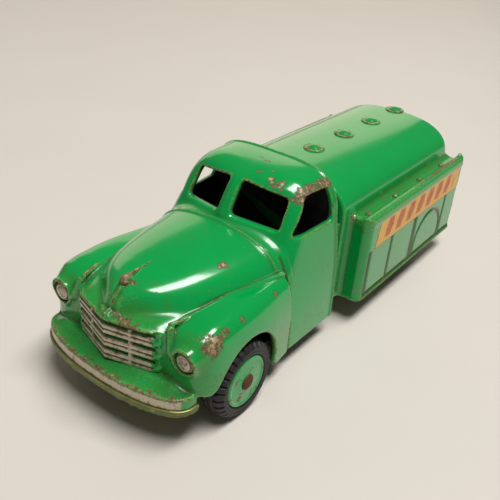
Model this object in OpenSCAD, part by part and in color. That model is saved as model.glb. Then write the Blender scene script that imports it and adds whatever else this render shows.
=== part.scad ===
// Toy tanker truck: a hollow die-cast body on a pressed sheet base, with two wire
// axles and four loose wheels. The truck faces -Y, +X is its left side, +Z is up,
// and the origin is on the ground under the middle of its box. Sizes are in mm.

/* [Overall] */
// Length over the front and rear bumpers
length = 112; // [110:0.5:116]
// Width over the side boxes, without the transfers
width = 43.2; // [42:0.2:45]
// Height of the roof above the ground
height = 38.7; // [38:0.1:40]
// Thickness of the cast walls
wall = 1.4; // [1.2:0.1:1.8]

/* [Wheels] */
// Distance between the axles
wheelbase = 74.3; // [72:0.1:76]
// Diameter over the tread of the tyres
tyre_d = 15.8; // [15.2:0.1:16]
// Width of the tyres
tyre_w = 5.5; // [4.5:0.1:6]
// Diameter of the visible disc of each hub
hub_d = 10.7; // [10:0.1:11]
// Distance between the outer faces of the front tyres
front_track = 40.8; // [39:0.1:41]
// Distance between the outer faces of the rear tyres
rear_track = 33.2; // [32:0.1:35]
// Tread blocks around each tyre
tread_blocks = 30; // [20:1:40]
// Diameter of the axle wires
axle_d = 1.7; // [1.5:0.1:2]

/* [Cab and bonnet] */
// Height of the window sills
sill_z = 28.4; // [27:0.1:29]
// Gap between the rear of the cab and the side boxes
cab_gap = 6; // [4:0.1:7]

/* [Tank] */
// Height of the top of the tank
tank_top = 34.5; // [33:0.1:36]
// Height of the walkways beside the tank
walkway_z = 25.6; // [25:0.1:27]
// Number of filler caps along the tank
caps = 4; // [2:1:5]

/* [Base] */
// Thickness of the sheet
sheet = 0.6; // [0.4:0.1:0.7]

/* [Hidden] */

green = [0.0, 0.62, 0.31];
dark_tin = [0.16, 0.17, 0.15];
rust = [0.38, 0.22, 0.12];
black = [0.12, 0.11, 0.11];
yellow = [0.92, 0.74, 0.42];

fit = 0.07;                      // radial clearance of each running bore
skin = 0.05;                     // thickness of the slices that lofts join
eps = 0.01;                      // overlap that merges shapes of one casting
front_y = -length / 2;
tyre_r = tyre_d / 2;
hub_r = hub_d / 2;
axle_r = axle_d / 2;
front_axle_y = -wheelbase / 2 - 0.15;
rear_axle_y = wheelbase / 2 - 0.15;
wheel_z = tyre_r;

// Sheet base: its top meets the underside of the casting
base_top = 8.8;
base_z = base_top - sheet;

// Bumper and nose
bumper_half = 18.6;              // half width, and half axis of the bumper's ellipse
bumper_bow = 6.6;                // how far the bumper bows forward
bumper_y = front_y + bumper_bow + 0.2;
bumper_top = 11.2;
grille_z = 12.1;
grille_h = 7.2;
grille_half = 9.6;
grille_y = front_y + 2.7;        // ridge of the V
grille_angle = 16.8;
bars = 6;
lamp = [16.0, front_y + 6.5, 17.6];
lamp_r = 2.4;

// Bonnet: runs from the nose at t = 0 to the cowl at t = 1
nose_y = front_y + 4.4;
cowl_y = front_y + 33.6;
bonnet_top = 28.5;
function bonnet_y(t) = nose_y + (cowl_y - nose_y) * t;
function bonnet_half(t) = 9.2 + 6.5 * pow(t, 0.8);
function crease_z(t) = 20.4 + 1.7 * pow(t, 0.5);
function crown_z(t) = 21.6 + (bonnet_top - 21.6) * pow(1 - pow(1 - t, 2), 0.42);

// Front wings: run from the lamps at s = 0 to the door at s = 1
wing_front = front_y + 6.6;
wing_back = front_y + 34.9;
wing_x = 14.5;                   // middle of each wing
wing_mid = 10;
wing_foot = 4.6;
function wing_y(s) = wing_front + (wing_back - wing_front) * s;
function wing_half(s) = 5.1 + 1.2 * pow(1 - pow(1 - s, 8), 0.5) - 2 * pow(s, 3);
function wing_top(s) = wing_mid + 11 + 2 * pow(1 - pow(1 - s, 8), 0.5) - 0.9 * pow(s, 2);
arch_r = tyre_r + 1.5;
arch_drop = 0.5;                 // how far the middle of the arch is below the axle

// Cab
door_y = front_y + 35;
cab_rear = front_y + 52.3;
door_foot = 4.4;
screen_foot_y = front_y + 34;    // foot of the windscreen on the centre line

// Tank and side boxes
box_front = cab_rear + cab_gap;
box_rear = length / 2 - 1;
tank_front = cab_rear + 3.5;
tank_half = 16.2;
box_half = width / 2;
box_foot = 5.8;
panel_top = 18.4;                // seam between the side panels and the transfers
rim_top = walkway_z + 1.3;
cap_y = box_front + 9;
cap_pitch = 13.7;
post_r = 2.2;
pin_r = 1.2;                     // end of each post where it enters the sheet
spread_r = 2;                    // and where it is spread, at the sheet's underside
front_post_y = front_axle_y + 14;
rear_post_y = rear_axle_y + 13;

// Half the distance between the outer faces of the lugs that carry each axle
front_lug = front_track / 2 - tyre_w - 1.1;
rear_lug = rear_track / 2 - tyre_w - 1.1;

// Points of the upper half of a superellipse, from +a to -a
function arch_points(a, b, n, steps = 16) = [for (i = [0:steps]) let (t = 180 * i / steps)
    [a * sign(cos(t)) * pow(abs(cos(t)), 2 / n), b * pow(abs(sin(t)), 2 / n)]];

// A thin upright slice of a 2D shape, across the truck at y
module slice_y(y) translate([0, y, 0]) rotate([90, 0, 0])
    linear_extrude(skin, center = true) children();

// A thin level slice of a 2D shape at height z
module slice_z(z) translate([0, 0, z]) linear_extrude(skin) children();

// An arch of half width a and rise b standing on a block from z0 up to z1
module arch_block(a, b, n, z0, z1) {
    translate([0, z1]) polygon(arch_points(a, b, n));
    translate([-a, z0]) square([2 * a, z1 - z0 + eps]);
}

module both_sides() {
    children();
    mirror([1, 0, 0]) children();
}

/* ---- Solids that the casting is made of; inset shrinks them for the hollow ---- */

module bonnet(inset = 0) {
    steps = [0, 0.05, 0.13, 0.3, 0.55, 0.8, 1];
    first = inset > 0 ? 2 : 0;
    for (i = [first:len(steps) - 2]) hull() for (t = [steps[i], steps[i + 1]])
        slice_y(bonnet_y(t)) arch_block(bonnet_half(t) - inset, crown_z(t) - crease_z(t) - inset,
            2.3, base_top + (inset > 0 ? -1 : 1), crease_z(t));
}

module wing(inset = 0) {
    steps = [0, 0.04, 0.12, 0.3, 0.55, 0.8, 1];
    first = inset > 0 ? 1 : 0;
    for (i = [first:len(steps) - 2]) hull() for (s = [steps[i], steps[i + 1]])
        slice_y(wing_y(s)) translate([wing_x, 0]) arch_block(wing_half(s) - inset,
            wing_top(s) - wing_mid - inset, 3, wing_foot - inset, wing_mid);
}

// Plan outline of the cab: half width a, straight back at y1, rounded V front at y0
module cab_plan(a, y0, y1, vee) offset(r = 1.2, $fn = 24) offset(delta = -1.2)
    polygon([[-a, y1], [a, y1], [a, y0 + vee], [0, y0], [-a, y0 + vee]]);

module cab(inset = 0) {
    // [height, half width, front, vee depth, rear]
    levels = [
        [door_foot, 18.6, door_y, 0, cab_rear],
        [sill_z - 2, 17.0, door_y - 0.8, 0.4, cab_rear],
        [sill_z + 0.6, 15.8, screen_foot_y + 0.2, 3.1, cab_rear + 0.2],
        [34.6, 13.9, screen_foot_y + 3.6, 3.4, cab_rear],
        [36.4, 12.2, screen_foot_y + 5.0, 3.0, cab_rear - 0.2],
        [height - 0.8, 8.6, screen_foot_y + 7.6, 1.8, cab_rear - 0.8],
        [height, 4.5, screen_foot_y + 9.6, 0.8, cab_rear - 2.5]];
    last = inset > 0 ? len(levels) - 3 : len(levels) - 2;
    for (i = [0:last]) hull() for (v = [levels[i], levels[i + 1]])
        slice_z(i == 0 && v == levels[0] && inset > 0 ? 0 : v[0] - inset * (v[0] > 30 ? 1 : 0))
            offset(delta = -inset) cab_plan(v[1], v[2], v[4], v[3]);
}

module tank(inset = 0) {
    rear = box_rear - inset;
    hull() {
        for (y = [tank_front + inset, rear - 1.6]) slice_y(y)
            arch_block(tank_half - inset, tank_top - walkway_z - inset, 2.5, base_top, walkway_z);
        slice_y(rear) arch_block(tank_half - 1.6 - inset, tank_top - walkway_z - 1.6 - inset,
            2.5, base_top, walkway_z);
    }
}

// Outline of the side boxes in plan, with rounded front corners
module box_plan(inset = 0) offset(r = 1.8, $fn = 32) offset(delta = -1.8 - inset)
    translate([-box_half, box_front]) square([2 * box_half, box_rear - 0.8 - box_front]);

module side_boxes() {
    translate([0, 0, box_foot]) linear_extrude(walkway_z - box_foot) box_plan();
    translate([0, 0, box_foot]) linear_extrude(1) offset(delta = 0.2) box_plan(0.2);
    // raised rim along each walkway
    translate([0, 0, walkway_z - 1]) linear_extrude(rim_top - walkway_z + 1) intersection() {
        box_plan(0.03);
        both_sides() translate([box_half - 1.6, box_front]) square([1.6, length]);
    }
}

module bumper() {
    half_ellipse = [for (p = arch_points(bumper_half, bumper_bow, 2, 24)) [p[0], -p[1]]];
    translate([0, bumper_y, base_top]) {
        linear_extrude(bumper_top - base_top) polygon(half_ellipse);
        hull() {
            translate([0, 0, bumper_top - base_top - eps]) linear_extrude(skin)
                offset(delta = -0.4) polygon(half_ellipse);
            translate([-14, -2.8, 0]) cube([28, 10, grille_z - base_top]);
        }
    }
}

// One half of the V grille: bars in pairs with an upright between them
module grille_half_panel() translate([0, grille_y, grille_z]) rotate([0, 0, grille_angle]) {
    pitch = grille_h / bars;
    half = grille_half / cos(grille_angle);
    translate([-0.2, 0.7, -0.3]) cube([half, 3, grille_h + 1.2]);
    for (i = [0:bars - 1]) translate([0, 0, pitch * (i + 0.5) + (i % 2 == 0 ? 0.12 : -0.12) - 0.3])
        cube([half - 0.5, 1, 0.6]);
    translate([half / 2 - 0.3, 0.15, -0.2]) cube([0.6, 1, grille_h + 0.1]);
    for (i = [0:bars / 2]) translate([half - 0.4, 0.5, (grille_h - 1) / 3 * i + 0.5])
        sphere(0.6, $fn = 10);
}

module headlamp() translate(lamp) rotate([90, 0, 0]) difference() {
    translate([0, 0, -3]) cylinder(r = lamp_r, h = 3.4, $fn = 32);
    translate([0, 0, 1.8]) sphere(r = lamp_r, $fn = 24);
}

module ornament() hull() {
    translate([0, nose_y + 3.3, 25.9]) sphere(0.9, $fn = 16);
    translate([0, nose_y + 10, 27.2]) sphere(0.2, $fn = 12);
}

// Pressed dome of each filler cap, and the small caps along the walkways
module filler_caps() {
    for (i = [0:caps - 1]) translate([0, cap_y + i * cap_pitch, tank_top - 0.3]) {
        rotate_extrude($fn = 24) polygon([[0, -0.5], [2.4, -0.5], [2.4, 0.55], [2, 0.7], [1.8, 1.0],
            [1.2, 1.2], [0, 1.3]]);
    }
    both_sides() for (i = [0:caps - 1])
        translate([18.4, cap_y - 4.4 + i * 13.1, walkway_z - 0.2])
            cylinder(r1 = 0.8, r2 = 0.45, h = 0.8, $fn = 16);
}

module rear_bumper() hull() both_sides()
    translate([box_half - 3.4, box_rear - 2, 9.9]) cylinder(r = 3, h = 3.6, $fn = 32);

// Posts whose ends are spread into countersunk holes of the base, flush with its underside
module posts() for (post = [[front_post_y, bonnet_top], [rear_post_y, tank_top]])
    translate([0, post[0], 0]) {
        translate([0, 0, base_top]) cylinder(r = post_r, h = post[1] - base_top - 0.8, $fn = 32);
        translate([0, 0, base_z]) cylinder(r1 = spread_r, r2 = pin_r, h = sheet + eps, $fn = 32);
    }

module screen_panes() both_sides() translate([0, -12, 0]) rotate([90, 0, 0]) linear_extrude(16)
    offset(r = 0.9, $fn = 24) offset(delta = -0.9)
        polygon([[1.4, sill_z + 1.4], [11.7, sill_z + 0.3], [11.1, 34.6], [1.7, 36.1]]);

module side_windows() rotate([90, 0, 90]) linear_extrude(60, center = true)
    offset(r = 0.9, $fn = 24) offset(delta = -0.9)
        polygon([[door_y + 1.7, sill_z], [cab_rear - 2.3, sill_z], [cab_rear - 2, 34.9],
            [cab_rear - 9.2, 35]]);

// Upright seams of the side panels and the line under the transfers
module panel_seams() both_sides() {
    for (y = [box_front + 12.8, box_front + 25.3, box_front + 42.9])
        translate([box_half - 0.3, y, box_foot + 1.2]) cube([1, 0.4, panel_top - box_foot - 1.2]);
    translate([box_half - 0.3, box_front + 2, panel_top]) cube([1, 50, 0.4]);
}

/* ---- Nodes ---- */

module body_casting() color(green) {
    difference() {
        union() {
            bonnet();
            both_sides() wing();
            cab();
            tank();
            side_boxes();
            bumper();
            rear_bumper();
            translate([-15.2, cab_rear - 2, base_top]) cube([30.4, cab_gap + 3, walkway_z - base_top - 0.5]);
        }
        // hollow of each part of the shell, open below
        bonnet(wall);
        both_sides() wing(wall);
        cab(wall);
        tank(wall);
        translate([0, 0, -1]) linear_extrude(walkway_z - wall + 1) box_plan(wall);
        translate([-13.8, cab_rear - 5, -1]) cube([27.6, 12, walkway_z - wall]);
        // room for the base sheet
        translate([-17, bumper_y, -1]) cube([34, length, base_top + 1]);
        // wheel arches, and the front wings' short lower lobes
        both_sides() translate([13.6, front_axle_y, wheel_z - arch_drop]) rotate([0, 90, 0])
            cylinder(r = arch_r, h = 12, $fn = 48);
        translate([-30, front_y, 0]) cube([60, -front_y + front_axle_y - 5, base_top]);
        both_sides() translate([wing_x + 0.9, bumper_y + 0.2, base_top - eps]) cube([9, 8, 1.9]);
        screen_panes();
        side_windows();
        panel_seams();
    }
    both_sides() grille_half_panel();
    both_sides() headlamp();
    ornament();
    filler_caps();
    posts();
}

// Plan of the sheet: the bumper's outline, then a strip that clears the tyres
module base_outline() {
    nose = [for (p = arch_points(bumper_half, bumper_bow + 0.2, 2, 24)) [p[0], bumper_y - p[1]]];
    polygon(nose);
    translate([-front_lug, bumper_y - 1]) square([2 * front_lug, length - 9]);
    translate([-16.6, front_axle_y + 9.2]) square([33.2, cab_rear - front_axle_y - 10.6]);
    translate([-box_half + 1.8, box_front + 2.5]) square([2 * box_half - 3.6, box_rear - box_front - 5.5]);
}

// Raised channel over an axle, closed at each end by a lug that carries it
module axle_channel(y, half) translate([0, y, 0]) {
    run = 2.4;
    lug_run = run - 0.1;         // the lugs stand inside the slot under the channel
    difference() {
        translate([-half, -run, base_z]) cube([2 * half, 2 * run, sheet + 1.2]);
        translate([-half - 1, -run + sheet, base_z - 1]) cube([2 * half + 2, 2 * run - 2 * sheet, 2 + sheet]);
    }
    both_sides() difference() {
        union() {
            translate([half - sheet, -lug_run, wheel_z])
                cube([sheet, 2 * lug_run, base_z - wheel_z + 1.2 + sheet]);
            translate([half - sheet, 0, wheel_z]) rotate([0, 90, 0])
                cylinder(r = lug_run, h = sheet, $fn = 48);
        }
        translate([half - sheet - 1, 0, wheel_z]) rotate([0, 90, 0])
            cylinder(r = axle_r + fit, h = sheet + 2, $fn = 48);
    }
}

module base_plate() color(dark_tin) {
    difference() {
        translate([0, 0, base_z]) linear_extrude(sheet) base_outline();
        for (y = [front_post_y, rear_post_y]) translate([0, y, base_z - eps])
            cylinder(r1 = spread_r + fit, r2 = pin_r + fit, h = sheet + 2 * eps, $fn = 32);
        for (v = [[front_axle_y, front_lug], [rear_axle_y, rear_lug]])
            translate([-v[1], v[0] - 2.4 + eps, base_z - 1]) cube([2 * v[1], 4.8 - 2 * eps, 4]);
        both_sides() translate([rear_lug, rear_axle_y - 9, base_z - 1])
            cube([rear_track / 2 - rear_lug + 1, 18, 4]);
    }
    axle_channel(front_axle_y, front_lug);
    axle_channel(rear_axle_y, rear_lug);
}

// A wire through both hubs, with spread and domed ends outside them
module axle(y, half) color(rust) translate([0, y, wheel_z]) rotate([0, 90, 0]) {
    cylinder(r = axle_r, h = 2 * half, center = true, $fn = 32);
    for (side = [0, 180]) rotate([side, 0, 0]) rotate_extrude($fn = 48)
        polygon([[0, half - 0.5], [1.5, half - 0.5], [1.5, half - 0.2], [1.25, half + 0.15],
            [0.7, half + 0.35], [0, half + 0.42]]);
}

module front_axle() axle(front_axle_y, front_track / 2 + 0.2);
module rear_axle() axle(rear_axle_y, rear_track / 2 + 0.2);

// Wheels are modelled with their outer face up, and then turned to either side
module on_wheel(y, track, side) translate([side * (track / 2 - tyre_w / 2), y, wheel_z])
    rotate([0, side * 90, 0]) children();

module hub() color(green) rotate_extrude($fn = 96) {
    bore = axle_r + fit;
    face = tyre_w / 2;
    seat = hub_r - 0.35;
    polygon([[bore, -face - 0.6], [2.2, -face - 0.6], [2.2, -face + 1.2], [hub_r, -face + 1.2],
        [hub_r, -face + 1.7], [seat, -face + 2.1], [seat, face - 1.3], [hub_r, face - 1.0],
        [hub_r, face - 0.65], [4.6, face - 0.5], [4.3, face - 0.25], [3.9, face - 0.25],
        [3.6, face - 0.42], [2.4, face - 0.36], [bore, face - 0.34]]);
}

module tyre() color(black) difference() {
    rotate_extrude($fn = 120) {
        half = tyre_w / 2;
        seat = hub_r - 0.33;
        polygon([[seat, half - 1.32], [hub_r + 0.05, half - 1.02], [hub_r + 0.05, half - 0.45],
            [hub_r + 0.5, half - 0.1], [6.7, half], [7.3, half - 0.35], [tyre_r - 0.1, half - 1.1],
            [tyre_r, half - 1.6], [tyre_r, 1.6 - half], [tyre_r - 0.1, 1.1 - half],
            [7.3, 0.35 - half], [6.7, -half], [hub_r + 0.5, 0.1 - half],
            [hub_r + 0.05, 0.45 - half], [hub_r + 0.05, 1.68 - half], [seat, 2.12 - half]]);
    }
    // slots between the tread blocks at each shoulder
    for (i = [0:tread_blocks - 1]) rotate([0, 0, 360 / tread_blocks * i])
        for (z = [1.1, -tyre_w / 2 - 1]) translate([tyre_r - 0.55, -0.25, z])
            cube([2, 0.5, tyre_w / 2 - 0.1]);
}

module hub_front_left() on_wheel(front_axle_y, front_track, 1) hub();
module hub_front_right() on_wheel(front_axle_y, front_track, -1) hub();
module hub_rear_left() on_wheel(rear_axle_y, rear_track, 1) hub();
module hub_rear_right() on_wheel(rear_axle_y, rear_track, -1) hub();
module tyre_front_left() on_wheel(front_axle_y, front_track, 1) tyre();
module tyre_front_right() on_wheel(front_axle_y, front_track, -1) tyre();
module tyre_rear_left() on_wheel(rear_axle_y, rear_track, 1) tyre();
module tyre_rear_right() on_wheel(rear_axle_y, rear_track, -1) tyre();

// Thin film along the upper band of a side box, with a sloping front end
module transfer() color(yellow) translate([box_half, 0, 0]) rotate([90, 0, 90])
    linear_extrude(0.1) polygon([[box_front + 3.8, 18.7], [box_rear - 3, 18.7],
        [box_rear - 3, walkway_z], [box_front + 5.4, walkway_z]]);

module transfer_left() transfer();
module transfer_right() mirror([1, 0, 0]) transfer();

body_casting();
base_plate();
front_axle();
rear_axle();
hub_front_left();
hub_front_right();
hub_rear_left();
hub_rear_right();
tyre_front_left();
tyre_front_right();
tyre_rear_left();
tyre_rear_right();
transfer_left();
transfer_right();
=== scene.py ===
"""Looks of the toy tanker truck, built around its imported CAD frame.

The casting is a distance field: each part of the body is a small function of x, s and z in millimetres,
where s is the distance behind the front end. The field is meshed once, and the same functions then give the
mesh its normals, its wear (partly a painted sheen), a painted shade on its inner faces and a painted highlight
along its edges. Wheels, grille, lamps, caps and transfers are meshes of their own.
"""
import math

import bpy
import numpy as np
from mathutils import Matrix, Vector


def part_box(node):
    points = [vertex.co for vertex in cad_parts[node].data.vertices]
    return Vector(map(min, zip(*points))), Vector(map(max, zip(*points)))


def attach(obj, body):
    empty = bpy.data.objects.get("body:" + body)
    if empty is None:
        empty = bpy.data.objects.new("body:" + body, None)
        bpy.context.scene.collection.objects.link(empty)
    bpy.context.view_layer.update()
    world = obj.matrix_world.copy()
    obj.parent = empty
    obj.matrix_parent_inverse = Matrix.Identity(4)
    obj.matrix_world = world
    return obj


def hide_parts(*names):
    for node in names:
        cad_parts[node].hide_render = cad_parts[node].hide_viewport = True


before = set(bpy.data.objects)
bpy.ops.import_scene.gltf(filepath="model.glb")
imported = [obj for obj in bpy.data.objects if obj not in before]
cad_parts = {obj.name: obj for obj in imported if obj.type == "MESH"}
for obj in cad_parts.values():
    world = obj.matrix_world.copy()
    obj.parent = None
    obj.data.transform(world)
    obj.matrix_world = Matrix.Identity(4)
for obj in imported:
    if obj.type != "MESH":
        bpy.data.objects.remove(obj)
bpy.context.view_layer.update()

MM = 0.001


def box_mm(node):
    """Lowest and highest corner of a CAD node, in millimetres."""
    low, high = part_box(node)
    return np.array(low) / MM, np.array(high) / MM


# ---------------------------------------------------------------- places, from the CAD frame
body_low, body_high = box_mm("body_casting")
plate_low, plate_high = box_mm("base_plate")
FRONT = plate_low[1]
LENGTH = body_high[1] - FRONT
SIDE_X = body_high[0]
ROOF_Z = body_high[2]


def wheel_centre(end):
    """Outer face x, s and z of the middle of a left wheel, and its radius and width."""
    low, high = box_mm(f"tyre_{end}_left")
    return dict(face=high[0], s=(low[1] + high[1]) / 2 - FRONT, z=(low[2] + high[2]) / 2,
                radius=(high[2] - low[2]) / 2, width=high[0] - low[0])


FRONT_WHEEL = wheel_centre("front")
REAR_WHEEL = wheel_centre("rear")


# ---------------------------------------------------------------- distance field tools
def spline(*points):
    """Smooth curve through (x, y) points, straight beyond both ends."""
    px, py = np.array(points, float).T
    slope = np.gradient(py, px)

    def at(x):
        i = np.clip(np.searchsorted(px, x) - 1, 0, len(px) - 2)
        h = px[i + 1] - px[i]
        t = np.clip((x - px[i]) / h, 0, 1)
        curve = (py[i] * (1 + 2 * t) * (1 - t) ** 2 + slope[i] * h * t * (1 - t) ** 2
                 + py[i + 1] * t * t * (3 - 2 * t) + slope[i + 1] * h * t * t * (t - 1))
        before, after = np.minimum(x - px[0], 0), np.maximum(x - px[-1], 0)
        return (curve + slope[0] * before + slope[-1] * after).astype(np.float32)
    return at


def join(a, b, k):
    """Union with a fillet of about k."""
    h = np.maximum(k - np.abs(a - b), 0) / k
    return np.minimum(a, b) - h * h * k / 4


def common(a, b, k):
    """Intersection with an edge rounded by about k."""
    h = np.maximum(k - np.abs(a - b), 0) / k
    return np.maximum(a, b) + h * h * k / 4


def between(v, low, high):
    return np.maximum(low - v, v - high)


def arch(x, z, half, foot, rise, n):
    """Superellipse arch on straight sides that run down from foot."""
    u = np.abs(x) / half
    v = np.maximum(z - foot, 0) / rise
    f = (u ** n + v ** n) ** (1 / n) + 1e-4
    gx = (u / f) ** (n - 1) / half
    gz = (v / f) ** (n - 1) / rise
    return (f - 1) / np.sqrt(gx * gx + gz * gz + 1e-4)


def round_rect(u, v, half_u, half_v, r):
    qu, qv = np.abs(u) - half_u + r, np.abs(v) - half_v + r
    return np.sqrt(np.maximum(qu, 0) ** 2 + np.maximum(qv, 0) ** 2) + np.minimum(np.maximum(qu, qv), 0) - r


def bump(v, width):
    return np.exp(-(v / width) ** 2)


def ramp(v, low, high):
    t = np.clip((v - low) / (high - low), 0, 1)
    return t * t * (3 - 2 * t)


def capsule(x, s, z, a, b, r):
    ax, as_, az = a
    d = np.array(b, float) - np.array(a, float)
    t = np.clip(((x - ax) * d[0] + (s - as_) * d[1] + (z - az) * d[2]) / (d @ d), 0, 1)
    return np.sqrt((x - ax - t * d[0]) ** 2 + (s - as_ - t * d[1]) ** 2 + (z - az - t * d[2]) ** 2) - r


# ---------------------------------------------------------------- the casting
WALL = 1.4
BOX_FRONT = 58.3
BOX_REAR = LENGTH - 1.2
BOX_FOOT = 5.8
WALKWAY = 25.6
TANK = dict(half=16.3, rise=8.9, front=55.8, rear=LENGTH - 0.4, n=2.5)
DOOR_S = 35.0
CAB_REAR = 52.3
CAB_FOOT = body_low[2]
SILL = 28.4
ARCH_R = FRONT_WHEEL["radius"] + 1.5
ARCH_DROP = 0.2
ARCH_BACK = 0.8
WING_X = 14.5
LAMP = (15.6, 6.1, 17.6)
LAMP_R = 2.5
GRILLE = dict(ridge=2.6, rake=0.302, half=10.0, foot=11.7, top=19.9)
BUMPER = dict(half=17.9, bow=6.3, s=6.6, foot=8.8, top=11.2, bend=2.25, end=7.6)

dome_half = spline((3.6, 0.9), (4.9, 1.9), (6.5, 3.9), (9.1, 7.0), (12, 9.4), (14.5, 10.8), (17.6, 11.9),
                   (21.5, 12.9), (26, 13.85), (29.7, 14.5), (33.2, 15.2), (36, 15.8))
dome_top = spline((4.2, 21.2), (5.0, 23.2), (6.3, 24.8), (8.3, 26.0), (11, 26.75), (14, 27.2), (20, 27.8),
                  (26.2, 28.2), (33.6, 28.55), (38, 28.8))
crease_half = spline((3.6, 9.3), (8.4, 10.9), (14, 12.1), (21.5, 13.2), (26, 13.95), (29.7, 14.5),
                     (33.2, 15.2))
shelf_top = spline((3.6, 21.0), (6, 21.9), (10, 22.7), (14, 23.1), (20, 23.2), (28, 23.0), (34, 22.8))
wing_top = spline((6.2, 19.6), (8.2, 21.4), (11, 22.4), (15, 22.8), (20, 22.9), (27, 22.5), (35, 22.0))
wing_side = spline((6, 20.7), (15, 20.8), (21, 20.6), (27, 19.9), (31, 19.3), (35, 18.8))
cab_half = spline((4, 18.5), (8.3, 18.4), (14, 18.2), (20, 17.75), (26, 16.9), (28, 16.5), (32, 16.4))
roof_line = spline((36, 35.8), (38, 36.9), (40.5, 37.8), (44, 38.5), (47.4, ROOF_Z), (52.5, 38.45))


def bonnet(x, s, z):
    behind = s - 36
    s = np.minimum(s, 37)
    dome = arch(x, z, np.maximum(dome_half(s), 0.6), 21.2, np.maximum(dome_top(s) - 21.2, 0.3), 2.35)
    shelf = arch(x, z, crease_half(s), shelf_top(s) - 2.6, 2.6, 2.7)
    lip = GRILLE["ridge"] - 0.3 + 0.27 * np.sqrt(x * x + 1) - s
    under_lip = np.maximum(z - 20.4, np.maximum(s - GRILLE["ridge"] - 0.9 - GRILLE["rake"] * x, x - 10.9))
    solid = common(common(join(dome, shelf, 1.9), lip, 0.5), -under_lip, 0.25)
    return np.maximum(solid, behind)


def nose(x, s, z):
    """Block behind the grille, under the lip of the bonnet."""
    panel = GRILLE["ridge"] + 0.9 + GRILLE["rake"] * x - s
    return np.maximum(common(np.maximum(x - 10.9, panel), z - 20.6, 0.4), s - 12)


def wing(x, s, z):
    behind = s - DOOR_S + 0.4
    s = np.minimum(s, DOOR_S + 1)
    section = arch(x - WING_X, z, wing_side(s) - WING_X, 10, wing_top(s) - 10, 3)
    plan = arch(x - 13.4, 14 - s, 7.5, 0, 7.7, 2.5)
    pod = np.hypot(x - LAMP[0], z - LAMP[2]) - LAMP_R - 0.1 - 0.12 * (s - LAMP[1])
    pod = common(pod, between(s, LAMP[1] - 0.15 - 0.12 * (z - LAMP[2]), 12), 0.3)
    solid = common(section, plan, 2.0)
    return common(join(solid, pod, 1.2), behind, 0.8)


def cab(x, s, z):
    narrow = 1 - 0.06 * ramp(z, 8, 28) * np.clip((CAB_REAR - s) / 14, 0, 1.3)
    section = arch(x, z, cab_half(z) * narrow, 26, ROOF_Z + 0.1 - 26, 3)
    screen = 0.297 * x - 0.815 * (s + FRONT) + 0.497 * z - 33.14
    front = np.maximum(33.2 - s, np.minimum(DOOR_S + 0.1 - s, x - 15.9))
    solid = common(section, screen, 2.6)
    solid = common(solid, z - roof_line(s), 2.4)
    solid = common(solid, s - CAB_REAR, 0.8)
    solid = solid - 0.28 * bump(s - CAB_REAR + 0.7, 0.4)
    return common(solid, front, 0.6)


def tank(x, s, z):
    section = arch(x, z, TANK["half"], WALKWAY, TANK["rise"], TANK["n"])
    return common(common(section, TANK["front"] - s, 0.9), s - TANK["rear"], 3.4)


def side_boxes(x, s, z):
    middle, half = (BOX_FRONT + BOX_REAR) / 2, (BOX_REAR - BOX_FRONT) / 2
    plan = round_rect(x, s - middle, SIDE_X, half, 2.0)
    plan = plan + panel_relief(x, s, z) - 0.22 * bump(z - BOX_FOOT - 0.5, 0.45)
    block = common(plan, z - WALKWAY, 0.5)
    rim = np.maximum(round_rect(x - SIDE_X + 1.25, z - WALKWAY, 1.25, 1.3, 1.1), plan)
    lip = np.maximum(np.maximum(round_rect(s - BOX_FRONT - 0.9, z - WALKWAY, 0.95, 0.95, 0.85), 15 - x), plan)
    tip_x = SIDE_X - 1.5
    tip = capsule(x, s, z, (tip_x, BOX_REAR - 2.4, WALKWAY + 0.6),
                  (tip_x, BOX_REAR - 0.9, WALKWAY + 1.5), 0.5)
    return join(join(block, join(rim, lip, 0.4), 0.5), tip, 0.5)


def panel_lines(s, z):
    """Distance in the plane of the side to the nearest seam between its pressed panels."""
    under = between(z, BOX_FOOT + 1.3, 18.2)
    hoop = np.hypot(s - REAR_WHEEL["s"], np.maximum(z - 9.5, 0)) - 7.6
    spat = np.maximum(np.abs(hoop), under)
    outside_hoop = np.maximum(-hoop, 0)
    d = spat
    for seam in (BOX_FRONT + 2.2, 71.0, 83.2, 84.1, 101.6, 109.2):
        d = np.minimum(d, np.hypot(np.abs(s - seam), np.maximum(np.maximum(under, outside_hoop), 0)))
    foot = np.maximum(np.abs(z - BOX_FOOT - 1.3), between(s, BOX_FRONT + 2.2, 109.2))
    return np.minimum(d, foot)


def panel_relief(x, s, z):
    on_side = ramp(x, SIDE_X - 1.6, SIDE_X - 0.6)
    return 0.38 * bump(panel_lines(s, z), 0.42) * on_side


def open_shell(x, s, z):
    """The shell without its floor, as if it ran on down."""
    front = join(bonnet(x, s, z), nose(x, s, z), 0.6)
    crease = np.hypot(x - crease_half(s) - 0.25, z - 22.1)
    front = join(front, wing(x, s, z), 0.5)
    front = front + 0.25 * bump(np.hypot(x - crease_half(s) + 0.5, z - 22.5), 0.4) * ramp(s, 7, 9)
    front = join(front, np.maximum(crease - 0.42, between(s, 7.6, DOOR_S)), 0.25)
    front = front - 0.3 * bump(s - 32.9, 0.4) * ramp(z, 22.5, 23.5) * (s < 34)
    body = join(front, cab(x, s, z), 0.9)
    body = body + 0.3 * bump(s - DOOR_S, 0.3) * (x > 14) * ramp(28.5 - z, 0, 0.8)
    neck = np.maximum(np.maximum(x - 15.4, z - 25.0), between(s, 50, 60))
    rear = join(tank(x, s, z), side_boxes(x, s, z), 1.6)
    return join(join(body, neck, 0.3), rear, 0.3)


def convex(u, v, corners, k):
    """Field of a convex outline whose corners go round anticlockwise, rounded by about k."""
    field = None
    for (u0, v0), (u1, v1) in zip(corners, corners[1:] + corners[:1]):
        length = math.hypot(u1 - u0, v1 - v0)
        side = ((u - u0) * (v1 - v0) - (v - v0) * (u1 - u0)) / length
        field = side if field is None else common(field, side, k)
    return field


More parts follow.
